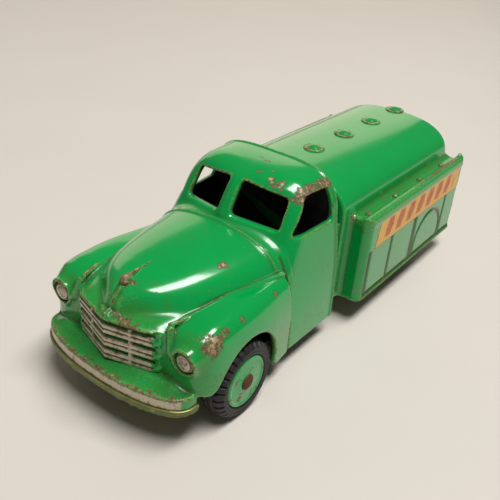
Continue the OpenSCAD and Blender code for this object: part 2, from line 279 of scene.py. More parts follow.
PANE = [(1.5, SILL + 1.4), (11.7, SILL + 0.2), (11.3, 34.5), (1.3, 36.1)]
SIDE_WINDOW = [(DOOR_S + 3.2, SILL - 0.5), (CAB_REAR - 1.8, SILL - 0.2), (CAB_REAR - 1.8, 34.9),
               (CAB_REAR - 9.0, 35.0)]


def windows(x, s, z):
    """Windscreen panes and side windows, as blocks that go through the wall."""
    pane = np.maximum(convex(x, z, PANE, 1.1), s - 45)
    side = np.maximum(convex(s, z, SIDE_WINDOW, 1.2), 12.3 - x)
    return np.minimum(pane, side)


def bumper(x, s, z):
    plan = arch(x, BUMPER["s"] - s, BUMPER["half"], 0, BUMPER["bow"], BUMPER["bend"])
    top = BUMPER["top"] + 1.0 * ramp(-plan, 0.6, 4.5)
    return np.maximum(common(common(plan, z - top, 0.5), s - BUMPER["end"], 0.4), BUMPER["foot"] - z)


def rear_bumper(x, s, z):
    plan = round_rect(x, s - (LENGTH - 3), SIDE_X - 0.4, 3, 2.6)
    return common(plan, between(z, 9.9, 13.5), 0.7)


def foot_height(x, s):
    """Height of the lower edge of the shell."""
    edge = np.where(s < 14, 10.6 - 0.2 * (s - 6.5), CAB_FOOT + 0.2)
    edge = np.where(s > DOOR_S - 0.3, CAB_FOOT, edge)
    edge = np.where(s > CAB_REAR + 1, BOX_FOOT, edge)
    return np.where(x < 11.5, BUMPER["foot"], edge)


def casting(x, s, z):
    x = np.abs(x)
    shell = open_shell(x, s, z)
    outer = common(shell, foot_height(x, s) - z, 0.4)
    outer = np.maximum(outer, -(shell + WALL))
    wheel_well = np.hypot(s - FRONT_WHEEL["s"] - ARCH_BACK, z - FRONT_WHEEL["z"] + ARCH_DROP) - ARCH_R
    wheel_well = join(wheel_well, z - foot_height(x, s), 2.6)
    wheel_well = np.maximum(wheel_well, np.maximum(13.5 - x, s - DOOR_S + 0.6))
    outer = common(outer, -wheel_well, 0.5)
    outer = common(outer, -windows(x, s, z), 0.45)
    lamp_back = np.maximum(np.hypot(x - LAMP[0], z - LAMP[2]) - LAMP_R,
                           between(s, LAMP[1] + 1.2, LAMP[1] + 2.6))
    dish = np.maximum(np.hypot(x - LAMP[0], z - LAMP[2] + 0.35) - LAMP_R + 0.35, s - LAMP[1] - 1.3)
    outer = common(np.minimum(outer, lamp_back), -dish, 0.3)
    outer = join(outer, bumper(x, s, z), 0.6)
    outer = join(outer, capsule(x, s, z, (11.3, 7.6, 21.4), (12.4, 6.5, 17.6), 0.7), 0.4)
    ridge = (0.3 * bump(x, 0.3) - 0.12 * bump(x - 0.7, 0.3)) * ramp(8.5 - s, 0, 1) * ramp(z, 20.5, 21.5)
    stud = capsule(x, s, z, (15.7, 50.4, 27.6), (15.9, 50.7, 27.8), 0.5)
    outer = join(outer - ridge, stud, 0.3)
    return join(outer, rear_bumper(x, s, z), 0.4)


# ---------------------------------------------------------------- meshing a field
def steps(*runs):
    """Grid lines over several (start, end, spacing) runs."""
    lines = [np.linspace(a, b, max(2, round((b - a) / h)) + 1)[:-1] for a, b, h in runs]
    return np.append(np.concatenate(lines), runs[-1][1]).astype(np.float32)


def mirror_lines(xs, values):
    return np.concatenate([-xs[:0:-1], xs]), np.concatenate([values[:0:-1], values])


def surface_nets(values, xs, ys, zs):
    """Quads of the zero surface of a field sampled on grid lines."""
    inside = values < 0
    count = np.zeros([n - 1 for n in values.shape], np.int8)
    corners = [(a, b, c) for a in (0, 1) for b in (0, 1) for c in (0, 1)]
    nx, ny, nz = count.shape
    for a, b, c in corners:
        count += inside[a:nx + a, b:ny + b, c:nz + c]
    i, j, k = np.nonzero((count > 0) & (count < 8))
    index = np.full(count.shape, -1, np.int32)
    index[i, j, k] = np.arange(len(i))
    total, hits = np.zeros((len(i), 3)), np.zeros(len(i))
    lines = (xs, ys, zs)
    for a, b, c in corners:
        for axis in range(3):
            if (a, b, c)[axis]:
                continue
            d = tuple(int(axis == n) + (a, b, c)[n] for n in range(3))
            f0, f1 = values[i + a, j + b, k + c], values[i + d[0], j + d[1], k + d[2]]
            cut = (f0 < 0) != (f1 < 0)
            t = np.where(cut, f0 / np.where(cut, f0 - f1, 1), 0)
            start = np.stack([xs[i + a], ys[j + b], zs[k + c]], 1)
            end = np.stack([xs[i + d[0]], ys[j + d[1]], zs[k + d[2]]], 1)
            total += np.where(cut[:, None], start + (end - start) * t[:, None], 0)
            hits += cut
    points = total / hits[:, None]
    quads = []
    for axis in range(3):
        u, v = [n for n in range(3) if n != axis]
        lower = np.take(inside, range(inside.shape[axis] - 1), axis)
        upper = np.take(inside, range(1, inside.shape[axis]), axis)
        where = np.array(np.nonzero(lower != upper))
        edge = (where[u] > 0) & (where[v] > 0) & (where[u] < count.shape[u]) & (where[v] < count.shape[v])
        where = where[:, edge]
        ring = []
        for du, dv in ((1, 1), (0, 1), (0, 0), (1, 0)):
            cell = where.copy()
            cell[u] -= du
            cell[v] -= dv
            ring.append(index[tuple(cell)])
        quad = np.stack(ring, 1)
        flip = lower[tuple(where)] == (axis == 1)
        quad[flip] = quad[flip][:, ::-1]
        quads.append(quad)
    return points, np.concatenate(quads)


def mesh_object(name, points, faces, smooth=True):
    """New object from points in (x, s, z) millimetres."""
    data = bpy.data.meshes.new(name)
    place = np.array(points, float)
    place[:, 1] += FRONT
    faces = np.asarray(faces)
    n, sides = faces.shape
    data.vertices.add(len(place))
    data.vertices.foreach_set("co", (place * MM).ravel())
    data.loops.add(n * sides)
    data.loops.foreach_set("vertex_index", faces.astype(np.int32).ravel())
    data.polygons.add(n)
    data.polygons.foreach_set("loop_start", np.arange(n, dtype=np.int32) * sides)
    data.update(calc_edges=True)
    data.validate()
    data.polygons.foreach_set("use_smooth", np.full(len(data.polygons), smooth))
    obj = bpy.data.objects.new(name, data)
    bpy.context.scene.collection.objects.link(obj)
    return obj


def points_of(obj):
    co = np.zeros(len(obj.data.vertices) * 3, np.float32)
    obj.data.vertices.foreach_get("co", co)
    co = co.reshape(-1, 3) / MM
    co[:, 1] -= FRONT
    return co


def gradient(field, p, h=0.04):
    x, s, z = p.T
    g = [field(x + h, s, z) - field(x - h, s, z), field(x, s + h, z) - field(x, s - h, z),
         field(x, s, z + h) - field(x, s, z - h)]
    return np.stack(g, 1) / (2 * h)


def apply_modifiers(obj):
    graph = bpy.context.evaluated_depsgraph_get()
    fresh = bpy.data.meshes.new_from_object(obj.evaluated_get(graph))
    obj.modifiers.clear()
    old = obj.data
    obj.data = fresh
    bpy.data.meshes.remove(old)


def field_object(name, field, xs, ys, zs, triangles):
    """Mesh of a field that is the same on both sides, thinned and then set back on the true surface."""
    values = field(xs[:, None, None], ys[None, :, None], zs[None, None, :]).astype(np.float32)
    xs, values = mirror_lines(xs, values)
    obj = mesh_object(name, *surface_nets(values, xs, ys, zs))
    faces = 2 * len(obj.data.polygons)
    if faces > triangles:
        thin = obj.modifiers.new("thin", "DECIMATE")
        thin.ratio = triangles / faces
        apply_modifiers(obj)
    p = points_of(obj).astype(float)
    for _ in range(2):
        g = gradient(field, p)
        step = field(*p.T)[:, None] * g / np.maximum((g * g).sum(1, keepdims=True), 0.2)
        p -= np.clip(step, -0.15, 0.15)
    place = p.copy()
    place[:, 1] += FRONT
    obj.data.vertices.foreach_set("co", (place * MM).astype(np.float32).ravel())
    obj.data.polygons.foreach_set("use_smooth", np.ones(len(obj.data.polygons), bool))
    obj.data.update()
    g = gradient(field, p, 0.06)
    g /= np.maximum(np.linalg.norm(g, axis=1, keepdims=True), 1e-6)
    obj.data.normals_split_custom_set_from_vertices(g.tolist())
    return obj, p, g


def set_attribute(obj, name, values):
    layer = obj.data.attributes.new(name, "FLOAT", "POINT")
    layer.data.foreach_set("value", np.asarray(values, np.float32))


fine = 0.3
BODY_XS = steps((0, 22.4, fine))
BODY_YS = steps((-0.6, 57, fine), (57, 113, fine * 1.4))
BODY_ZS = steps((3.6, ROOF_Z + 0.7, fine))
body, body_points, body_normals = field_object("body_shell", casting, BODY_XS, BODY_YS, BODY_ZS,
                                               190000)


# ---------------------------------------------------------------- wear, painted shade and painted edge highlights of the casting
def curvature(field, points, h):
    """Above 0 on outer edges and below 0 in hollows, over a distance of h."""
    x, s, z = points.T
    return (field(x + h, s, z) + field(x - h, s, z) + field(x, s + h, z) + field(x, s - h, z)
            + field(x, s, z + h) + field(x, s, z - h) - 6 * field(x, s, z)) / h ** 2


def chips_field(points, spots):
    """1 in the middle of each worn spot, one third at its radius."""
    total = np.zeros(len(points))
    ragged = (0.34 * np.sin(points[:, [1, 2, 0]] * 3.1 + [0, 2, 4])
              + 0.2 * np.sin(points[:, [2, 0, 1]] * 7.3 + [1, 3, 5]))
    for *centre, radius in spots:
        d = np.linalg.norm(points + ragged * min(radius, 1.2) - centre, axis=1)
        total = np.maximum(total, np.exp(-(d / radius) ** 2))
    return total


wear_rng = np.random.default_rng(11)


def worn_patch(middle, reach, count, size):
    """Spots scattered about a worn feature, each moved to the nearest point of the casting."""
    spots = []
    for guess in middle + wear_rng.normal(0, 0.5, (count, 3)) * reach:
        nearest = body_points[np.argmin(((body_points - guess) ** 2).sum(1))]
        spots.append((*nearest, size * wear_rng.uniform(0.6, 1.1)))
    return spots


def bumper_front(x):
    """Distance of the bumper's face behind the front end, at x."""
    bend = BUMPER["bend"]
    return BUMPER["s"] - BUMPER["bow"] * (1 - abs(x / BUMPER["half"]) ** bend) ** (1 / bend)


LIP_Z = GRILLE["top"] + 1
SHOULDER = (LAMP[0] + 3, LAMP[1] + 3.5, LAMP[2] + 3)
RIM_END = (SIDE_X - 0.6, LENGTH - 5, 26.9)

# Where handling wears the paint: middle of the feature, reach along x, s and z, number of spots, radius
WORN_FEATURES = (
    ((13, DOOR_S + 7, ROOF_Z - 3.5), (1, 1.5, 1.5), 6, 1.5),       # roof corner over the pillar
    ((13.3, DOOR_S + 13, ROOF_Z - 3), (0.5, 5, 0.6), 7, 1.5),      # roof edge over the door window
    ((7, DOOR_S + 6, ROOF_Z - 2.2), (6, 1.5, 1), 6, 1.1),          # roof edge over the windscreen
    ((6, DOOR_S + 10, ROOF_Z - 1), (7, 4, 1), 4, 0.7),             # top of the roof
    ((3, 4.2, LIP_Z), (4.5, 0.5, 0.6), 6, 1.2),                    # lip of the bonnet
    ((0, 8.5, 26), (3, 1.5, 1), 5, 0.8),                           # round the ornament
    ((9.5, DOOR_S - 11.5, 26.5), (0.8, 1.4, 0.5), 4, 0.9),         # shoulder of the bonnet
    (SHOULDER, (1, 1.8, 1), 8, 1.9),                               # left wing over the lamp
    ((LAMP[0] + 2.9, LAMP[1] + 8, 21.2), (1, 6, 0.8), 6, 0.9),     # top of the left wing
    ((18, DOOR_S - 6, 21), (0.6, 0.8, 0.8), 2, 0.9),               # left wing by the door
    ((-SHOULDER[0], *SHOULDER[1:]), (2, 2.5, 0.8), 5, 1.0),        # right wing over the lamp
    (RIM_END, (0.2, 5, 0.2), 4, 1.0),                              # rear ends of the walkway rims
    ((-RIM_END[0], RIM_END[1] - 3, RIM_END[2]), (0.2, 9, 0.2), 5, 0.9),
    ((17, BOX_FRONT, 26.3), (2, 0.2, 0.2), 3, 0.7),                # front edge of the left walkway
)
BUMPER_EDGE_Z = 11.1
CHIPS = [(x, bumper_front(x) + 0.35, BUMPER_EDGE_Z, 0.55 + 0.25 * math.sin(1.7 * x))
         for x in np.arange(-16.9, 17.0, 1.3)]
for worn_feature in WORN_FEATURES:
    CHIPS += worn_patch(*worn_feature)

x, s, z = body_points.T
curve = curvature(casting, body_points, 0.4)
ax = np.abs(x)
set_attribute(body, "edge", np.clip(curve / 2.2, 0, 1))
set_attribute(body, "cavity", np.clip(-curve / 2.0, 0, 1))
set_attribute(body, "chip", chips_field(body_points, CHIPS))
# painted shade: the inner faces of the hollow shell are coloured near black, except round the lamps
off_lamps = np.hypot(ax - LAMP[0], z - LAMP[2]) > 3
set_attribute(body, "painted_shade", ramp(-open_shell(ax, s, z), 0.55, 1.0) * off_lamps)
band = ramp(-body_normals[:, 1], 0.0, 0.3) * (s < 7.6) * (z < 10.95) * (z > 8.7) * ramp(17.2 - ax, 0, 0.4)
set_attribute(body, "silver", band)
on_walkway = (ramp(ax, 15.5, 16.5) * ramp(27.6 - z, 0, 0.8) * ramp(z, 24.5, 25.3)
              * ramp(s, BOX_FRONT - 2, BOX_FRONT))
# aged also lifts the rubbed pale paint low on the front, partly a painted sheen, besides the olive stain and
# specks
low_on_wing = ramp(19 - z, 0, 7) * ramp(DOOR_S - s, 0, 1)
aged = np.maximum(np.maximum(ramp(13 - s, 0, 9), low_on_wing), on_walkway)
set_attribute(body, "aged", np.maximum(aged, 0.5 * ramp(13 - z, 0, 5)))
low_side = ramp(ax, SIDE_X - 1.0, SIDE_X - 0.4) * (s > BOX_FRONT)
set_attribute(body, "seam", low_side * bump(panel_lines(s, z), 0.75) * (z < 19))


# ---------------------------------------------------------------- materials
class Shader:
    """Builds a node material with short calls."""

    def __init__(self, name):
        self.material = bpy.data.materials.new(name)
        self.material.use_nodes = True
        self.tree = self.material.node_tree
        self.bsdf = self.tree.nodes["Principled BSDF"]
        self.where = self.add("ShaderNodeTexCoord").outputs["Object"]

    def add(self, kind, **settings):
        node = self.tree.nodes.new(kind)
        for key, value in settings.items():
            setattr(node, key, value)
        return node

    def put(self, socket, value):
        if isinstance(value, bpy.types.NodeSocket):
            self.tree.links.new(value, socket)
        elif isinstance(value, tuple) and len(value) == 3 and socket.type == "RGBA":
            socket.default_value = (*value, 1)
        else:
            socket.default_value = value

    def math(self, operation, a, b=0.0, c=0.0, clamp=False):
        node = self.add("ShaderNodeMath", operation=operation, use_clamp=clamp)
        for socket, value in zip(node.inputs, (a, b, c)):
            self.put(socket, value)
        return node.outputs[0]

    def attribute(self, name):
        return self.add("ShaderNodeAttribute", attribute_name=name).outputs["Fac"]

    def noise(self, per_mm, detail=4.0, roughness=0.55, stretch=None):
        where = self.where
        if stretch:
            mapping = self.add("ShaderNodeMapping")
            self.put(mapping.inputs["Vector"], where)
            self.put(mapping.inputs["Scale"], stretch)
            where = mapping.outputs[0]
        node = self.add("ShaderNodeTexNoise")
        self.put(node.inputs["Vector"], where)
        self.put(node.inputs["Scale"], per_mm / MM)
        self.put(node.inputs["Detail"], detail)
        self.put(node.inputs["Roughness"], roughness)
        return node.outputs[0]

    def step(self, value, low, high):
        """0 below low, 1 above high, smooth between."""
        node = self.add("ShaderNodeMapRange", interpolation_type="SMOOTHSTEP")
        self.put(node.inputs[0], value)
        self.put(node.inputs[1], low)
        self.put(node.inputs[2], high)
        return node.outputs[0]

    def mix(self, amount, a, b):
        node = self.add("ShaderNodeMix", data_type="RGBA")
        self.put(node.inputs[0], amount)
        self.put(node.inputs[6], a)
        self.put(node.inputs[7], b)
        return node.outputs[2]

    def blend(self, amount, a, b):
        node = self.add("ShaderNodeMix", data_type="FLOAT")
        self.put(node.inputs[0], amount)
        self.put(node.inputs[2], a)
        self.put(node.inputs[3], b)
        return node.outputs[0]

    def bump(self, height, strength, distance=0.1):
        node = self.add("ShaderNodeBump")
        self.put(node.inputs["Height"], height)
        self.put(node.inputs["Strength"], strength)
        self.put(node.inputs["Distance"], distance * MM)
        self.put(self.bsdf.inputs["Normal"], node.outputs[0])

    def finish(self, **sockets):
        for name, value in sockets.items():
            self.put(self.bsdf.inputs[name.replace("_", " ")], value)
        return self.material


def linear(r, g, b):
    """sRGB 0-255 to linear colour."""
    return tuple((c / 255 / 12.92) if c <= 10 else ((c / 255 + 0.055) / 1.055) ** 2.4 for c in (r, g, b))


GREEN = linear(0, 174, 82)
GREEN_DEEP = linear(0, 158, 70)
OLIVE = linear(62, 140, 44)
# pale green of rubbed paint, partly a painted sheen, and yellow-green for a painted highlight along the edges
GREEN_PALE = linear(92, 182, 100)
EDGE_HIGHLIGHT = linear(132, 178, 74)
OXIDE = linear(126, 96, 58)
OXIDE_DARK = linear(58, 46, 32)
BARE_METAL = linear(202, 188, 150)
DIRT = linear(58, 74, 26)
# near black for a painted shade on the inner faces of the shell and on the back of the grille
SHADE_BLACK = linear(12, 20, 12)
SILVER = linear(206, 194, 168)
TARNISH = linear(112, 92, 62)


def enamel(name, with_wear):
    """Chipped green enamel over a zinc casting, with a painted shade on the inner faces, a painted highlight along
    the edges and some painted sheen in the pale rubbed paint. The wear and these painted marks come from the
    mesh's attributes.
    """
    m = Shader(name)
    ragged = m.noise(0.9, 6, 0.72)
    fine_grain = m.noise(3.2, 5, 0.7)
    colour = m.mix(m.noise(0.07, 3), GREEN_DEEP, GREEN)
    if with_wear:
        edge, chip, grime = m.attribute("edge"), m.attribute("chip"), m.attribute("cavity")
    else:
        edge = grime = 0.0
        chip = m.math("MULTIPLY", m.step(m.noise(0.55, 2), 0.5, 0.66), 0.55)
    if with_wear:
        stained = m.step(m.math("MULTIPLY_ADD", m.attribute("aged"), 0.3, m.noise(0.3, 5, 0.65)), 0.55, 0.85)
        colour = m.mix(m.math("MULTIPLY", stained, 0.6), colour, OLIVE)

    # paint rubbed pale on its edges, chips and aged spots, partly a painted sheen; then a painted yellow-green
    # highlight along its convex edges, where the paint is also worn thin
    scuffed = m.math("MULTIPLY_ADD", edge, 0.6, m.math("MULTIPLY", chip, 0.5))
    if with_wear:
        scuffed = m.math("MULTIPLY_ADD", m.attribute("aged"), 0.35, scuffed)
    rubbed = m.step(m.math("MULTIPLY_ADD", scuffed, 0.45, fine_grain), 0.66, 0.92)
    colour = m.mix(m.math("MULTIPLY", rubbed, 0.6), colour, GREEN_PALE)
    # a painted yellow-green highlight along convex edges, where the paint is also worn thin
    thin = m.step(m.math("MULTIPLY", edge, m.math("MULTIPLY_ADD", ragged, 3.2, -0.8)), 0.35, 0.9)
    colour = m.mix(m.math("MULTIPLY", thin, 0.55), colour, EDGE_HIGHLIGHT)

    # dirt in the hollows and beside the chips
    patchy = m.math("MULTIPLY_ADD", m.noise(2.2, 6, 0.75), 3.4, -0.7)
    worn = m.math("MULTIPLY", chip, patchy)
    beside = m.math("MULTIPLY", m.step(worn, 0.2, 0.5), 0.4)
    dirty = m.math("MULTIPLY", grime, m.step(ragged, 0.2, 0.55), clamp=True)
    colour = m.mix(m.math("MULTIPLY", m.math("MAXIMUM", dirty, beside), 0.85), colour, DIRT)
    if with_wear:
        colour = m.mix(m.math("MULTIPLY", m.attribute("seam"), 0.8), colour, DIRT)

    # chips, small specks and bare metal in the middle of the largest chips
    bare_edge = m.math("MULTIPLY", edge, m.math("MULTIPLY_ADD", m.noise(1.4, 6, 0.75), 4.0, -1.5))
    chipped = m.step(m.math("MAXIMUM", worn, bare_edge), 0.50, 0.58)
    aged = m.attribute("aged") if with_wear else 0.6
    speck_here = m.step(m.math("MULTIPLY_ADD", aged, 0.14, m.noise(0.2, 3)), 0.45, 0.65)
    speck_level = m.math("MULTIPLY_ADD", speck_here, -0.07, 0.73)
    specks = m.math("GREATER_THAN", m.noise(2.4, 4, 0.6), speck_level)
    chipped = m.math("MAXIMUM", chipped, specks)
    metal_tone = m.mix(m.step(fine_grain, 0.36, 0.54), OXIDE_DARK, OXIDE)
    bright = m.step(m.math("MULTIPLY_ADD", chip, 0.4, m.noise(1.3, 5, 0.7)), 0.80, 0.96)
    metal_tone = m.mix(m.math("MULTIPLY", bright, 0.85), metal_tone, BARE_METAL)
    colour = m.mix(chipped, colour, metal_tone)
    rough = m.blend(chipped, m.blend(dirty, m.blend(rubbed, 0.16, 0.36), 0.6), 0.5)
    metallic = m.math("MULTIPLY", chipped, m.math("MULTIPLY", bright, 0.4))
    if with_wear:
        silver = m.attribute("silver")
        worn_off = m.step(m.math("MULTIPLY_ADD", edge, 0.3, ragged), 0.56, 0.66)
        colour = m.mix(silver, colour, m.mix(m.math("MULTIPLY", worn_off, 0.85), SILVER, TARNISH))
        rough = m.blend(silver, rough, 0.42)
        metallic = m.blend(silver, metallic, 0.2)
        # painted shade: near black on the inner faces of the shell and on the back of the grille
        painted_shade = m.attribute("painted_shade")
        colour = m.mix(painted_shade, colour, SHADE_BLACK)
        rough = m.blend(painted_shade, rough, 0.9)
    uneven = m.math("MULTIPLY_ADD", m.noise(1.2, 3), 0.25, m.math("MULTIPLY", m.noise(5.0, 2), 0.12))
    m.bump(m.math("SUBTRACT", uneven, chipped), 0.5, 0.06)
    coat = m.math("SUBTRACT", 0.5, m.math("MULTIPLY", chipped, 0.5), clamp=True)
    return m.finish(Base_Color=colour, Roughness=rough, Metallic=metallic, Coat_Weight=coat,
                    Coat_Roughness=0.1)


PAINT = enamel("green_enamel", True)
body.data.materials.append(PAINT)
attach(body, "body")
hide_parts("body_casting")

# ---------------------------------------------------------------- small pieces of the casting
def show_wear(obj, field, points, h, chips=(), edge_wear=1.0):
    """Edge and cavity attributes from the curvature of the field, plus worn spots; the edge attribute drives both
    wear and a painted highlight.
    """
    curve = curvature(field, points, h)
    set_attribute(obj, "edge", edge_wear * np.clip(curve / 2.2, 0, 1))
    set_attribute(obj, "cavity", np.clip(-curve / 2.0, 0, 1))
    set_attribute(obj, "chip", chips_field(points, chips))
    set_attribute(obj, "aged", np.full(len(points), 0.5))


def detail(name, field, xs, ss, zs, material, slot, triangles=60000, chips=(), node="body_casting",
           edge_wear=1.0):
    """Meshed piece of a field on its own fine grid, with its wear and painted edge highlights, hung on the body in
    place of its CAD node.
    """
    obj, points, normals = field_object(name, field, xs, ss, zs, triangles)
    show_wear(obj, field, points, 0.2, chips, edge_wear)
    obj.data.materials.append(material)
    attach(obj, "body")
    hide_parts(node)
    return obj, points, normals


SMALL = 0.11


def ornament(x, s, z):
    x = np.abs(x)
    blade = capsule(x, s, z, (0, 8.4, 26.2), (0, 14.6, 27.35), 0.05) - 0.8 * ramp(14.8 - s, 0, 6.2)
    blade = blade + 0.5 * x * ramp(s, 8.6, 10)
    ball = np.sqrt(x ** 2 + (s - 7.9) ** 2 + (z - 26.0) ** 2) - 0.95
    groove = 0.14 * bump(x - 0.42, 0.14) * ramp(s, 9, 10)
    return join(ball, blade + groove, 0.25)


detail("bonnet_ornament", ornament,
       steps((0, 1.6, SMALL)), steps((6.6, 15.4, SMALL)), steps((24.6, 28.2, SMALL)), PAINT, "body_paint",
       chips=[(0, s, 26.6 + 0.15 * (s - 8), 1.3 - 0.15 * (s - 8)) for s in (8, 10.3, 12.6)])


def grille(x, s, z):
    """Two flat halves in a V: six bars in three pairs, an upright in each half and knobs at the ends."""
    x = np.abs(x)
    depth = (s - GRILLE["ridge"] - GRILLE["rake"] * x) * 0.957
    along = x / 0.957
    height = GRILLE["top"] - GRILLE["foot"]
    pitch = height / 3
    pair = (z - GRILLE["foot"]) % pitch - pitch / 2
    bar = round_rect(np.abs(pair) - 0.5, depth - 0.45, 0.37, 0.55, 0.2)
    inside = np.maximum(between(z, GRILLE["foot"], GRILLE["top"]), along - GRILLE["half"])
    field = np.maximum(bar, inside)
    upright = np.maximum(round_rect(along - GRILLE["half"] / 2, depth - 0.55, 0.32, 0.5, 0.2), inside)
    field = join(field, upright, 0.25)
    back = np.maximum(np.maximum(0.95 - depth, depth - 2.6), inside)
    field = np.minimum(field, back)
    knob = np.sqrt((along - GRILLE["half"] - 0.15) ** 2 + (depth - 0.75) ** 2
                   + ((z - GRILLE["foot"] + 0.1) % pitch - pitch / 2) ** 2) - 0.82
    knob = np.maximum(knob, between(z, GRILLE["foot"] - 0.3, GRILLE["top"] + 0.3))
    post = np.maximum(round_rect(along - GRILLE["half"] - 0.25, depth - 1.3, 0.6, 0.9, 0.3),
                      between(z, GRILLE["foot"] - 0.2, GRILLE["top"] + 0.4))
    return join(field, join(knob, post, 0.3), 0.2)


grille_piece, grille_points, grille_normals = detail(
    "grille", grille, steps((0, 11.2, SMALL)), steps((1.8, 8.6, SMALL)),
    steps((GRILLE["foot"] - 0.9, GRILLE["top"] + 1.0, SMALL)), PAINT, "body_silver", triangles=150000,
    edge_wear=0.3)
gx, gs, gz = grille_points.T
grille_depth = (gs - GRILLE["ridge"] - GRILLE["rake"] * np.abs(gx)) * 0.957
on_bars = ramp(0.75 - grille_depth, 0, 0.3) * ramp(GRILLE["half"] * 0.957 - 0.35 - np.abs(gx), 0, 0.3)
set_attribute(grille_piece, "silver", on_bars)
# painted shade: the back of the grille between the bars is coloured near black
in_gaps = ramp(grille_depth, 0.5, 0.8) * (np.abs(gx) < GRILLE["half"] * 0.957 - 0.3)
set_attribute(grille_piece, "painted_shade", in_gaps)


def lens(x, s, z):
    x = np.abs(x)
    r = np.hypot(x - LAMP[0], z - LAMP[2] + 0.35)
    dome = np.sqrt(r ** 2 + (s - LAMP[1] - 2.6) ** 2) - 2.9
    ring = 0.1 * bump(r - 1.6, 0.16)
    return common(common(dome - ring, r - LAMP_R + 0.45, 0.2), s - LAMP[1] - 1.7, 0.2)


lens_piece, lens_points, _ = detail(
    "headlamp_lenses", lens,
    steps((LAMP[0] - 2.6, LAMP[0] + 2.6, SMALL)), steps((LAMP[1] - 0.7, LAMP[1] + 2.2, SMALL)),
    steps((LAMP[2] - 2.6, LAMP[2] + 2.6, SMALL)), PAINT, "body_silver")
set_attribute(lens_piece, "silver", np.ones(len(lens_points)))

CAP_S = [BOX_FRONT + 9 + 13.7 * i for i in range(4)]
STUD_S = [BOX_FRONT + 4.6 + 13.1 * i for i in range(4)]


def filler_cap(s0):
    top = WALKWAY + TANK["rise"]

    def field(x, s, z):
        r = np.hypot(x, s - s0)
        plinth = round_rect(r, z - top + 0.2, 2.5, 0.55, 0.35)
        dome = np.sqrt(r ** 2 + (z - top + 1.4) ** 2) - 2.35
        return join(plinth, common(dome, r - 1.6, 0.3), 0.35)
    return field


def walkway_stud(s0):
    def field(x, s, z):
        r = np.hypot(np.abs(x) - 18.3, s - s0)
        return common(np.sqrt(r ** 2 + (z - WALKWAY + 0.15) ** 2) - 0.85, r - 0.75, 0.2)
    return field


for i, s0 in enumerate(CAP_S):
    worn = [(2.3 * math.cos(a + i), s0 + 2.3 * math.sin(a + i), 34.9, 0.8) for a in (0.4, 1.6, 2.9, 4.6)]
    detail(f"filler_cap_{i + 1}", filler_cap(s0), steps((0, 2.9, SMALL)), steps((s0 - 2.9, s0 + 2.9, SMALL)),
           steps((33.6, 36.0, SMALL)), PAINT, "body_paint", chips=worn)
for i, s0 in enumerate(STUD_S):
    worn = [(18.4, s0, 26.3, 0.8), (-18.4, s0, 26.3, 0.7)]
    detail(f"walkway_studs_{i + 1}", walkway_stud(s0),
           steps((17, 19.6, SMALL)), steps((s0 - 1.3, s0 + 1.3, SMALL)),
           steps((24.9, 26.8, SMALL)), PAINT, "body_paint", chips=worn)


# ---------------------------------------------------------------- base plate
FRONT_LUG = FRONT_WHEEL["face"] - FRONT_WHEEL["width"] - 1.1
REAR_LUG = REAR_WHEEL["face"] - REAR_WHEEL["width"] - 1.1
SHEET = 0.6
PLATE_Z = BUMPER["foot"] - SHEET / 2


def base_plan(x, s):
    nose_part = arch(x, BUMPER["s"] - s, BUMPER["half"] + 0.25, 0, BUMPER["bow"] + 0.35, BUMPER["bend"])
    nose_part = np.maximum(nose_part, s - BUMPER["end"] - 0.1)
    strip = np.maximum(x - FRONT_LUG, between(s, 5, LENGTH - 4))
    cab_part = round_rect(x, s - 39.5, 16.6, 11.5, 1.0)
    box_part = round_rect(x, s - (BOX_FRONT + BOX_REAR) / 2,
                          SIDE_X - 1.8, (BOX_REAR - BOX_FRONT) / 2 - 2.2, 1.5)
    plan = np.minimum(np.minimum(nose_part, strip), np.minimum(cab_part, box_part))
    wheel_room = round_rect(np.abs(x) - REAR_LUG - 5, s - REAR_WHEEL["s"], 5, 9, 1.0)
    return np.maximum(plan, -wheel_room)


def base_plate(x, s, z):
    x = np.abs(x)
    rib = 0.35 * ramp(1.1 - np.abs(x - 4.5), 0, 0.5) * ramp(-between(s, 46, 80), 0, 1.2)
    rib = rib + 0.35 * ramp(0.8 - np.abs(x - 7), 0, 0.5) * ramp(-between(s, 8, 14), 0, 1.2)
    level = z - PLATE_Z - rib
    edge = base_plan(x, s)
    field = common(edge, np.abs(level) - SHEET / 2, 0.25)
    rim = np.maximum(np.abs(edge + 0.35) - 0.35, s - BUMPER["end"])
    rolled = np.maximum(rim, between(z, 7.5, BUMPER["foot"]))
    field = join(field, rolled, 0.3)
    for wheel, lug in ((FRONT_WHEEL, FRONT_LUG), (REAR_WHEEL, REAR_LUG)):
        ds = s - wheel["s"]
        slot = np.maximum(np.abs(ds) - 2.4 + SHEET, x - lug)
        channel = round_rect(np.abs(ds), z - PLATE_Z - 0.3, 2.4, 1.2, 0.3)
        channel = np.maximum(np.maximum(channel, PLATE_Z - 0.2 - z), x - lug)
        hollow = np.maximum(round_rect(np.abs(ds), z - PLATE_Z + 1, 2.4 - SHEET, 1.9, 0.2), x - lug - 1)
        field = np.maximum(np.minimum(np.maximum(field, -slot), channel), -hollow)
        tab = np.hypot(ds, np.minimum(z - wheel["z"], 0)) - 2.3
        tab = np.maximum(np.maximum(tab, z - PLATE_Z - 1.3), np.abs(x - lug + SHEET / 2) - SHEET / 2)
        bore = np.hypot(ds, z - wheel["z"]) - 0.92
        field = np.maximum(np.minimum(field, tab), -bore)
    return field


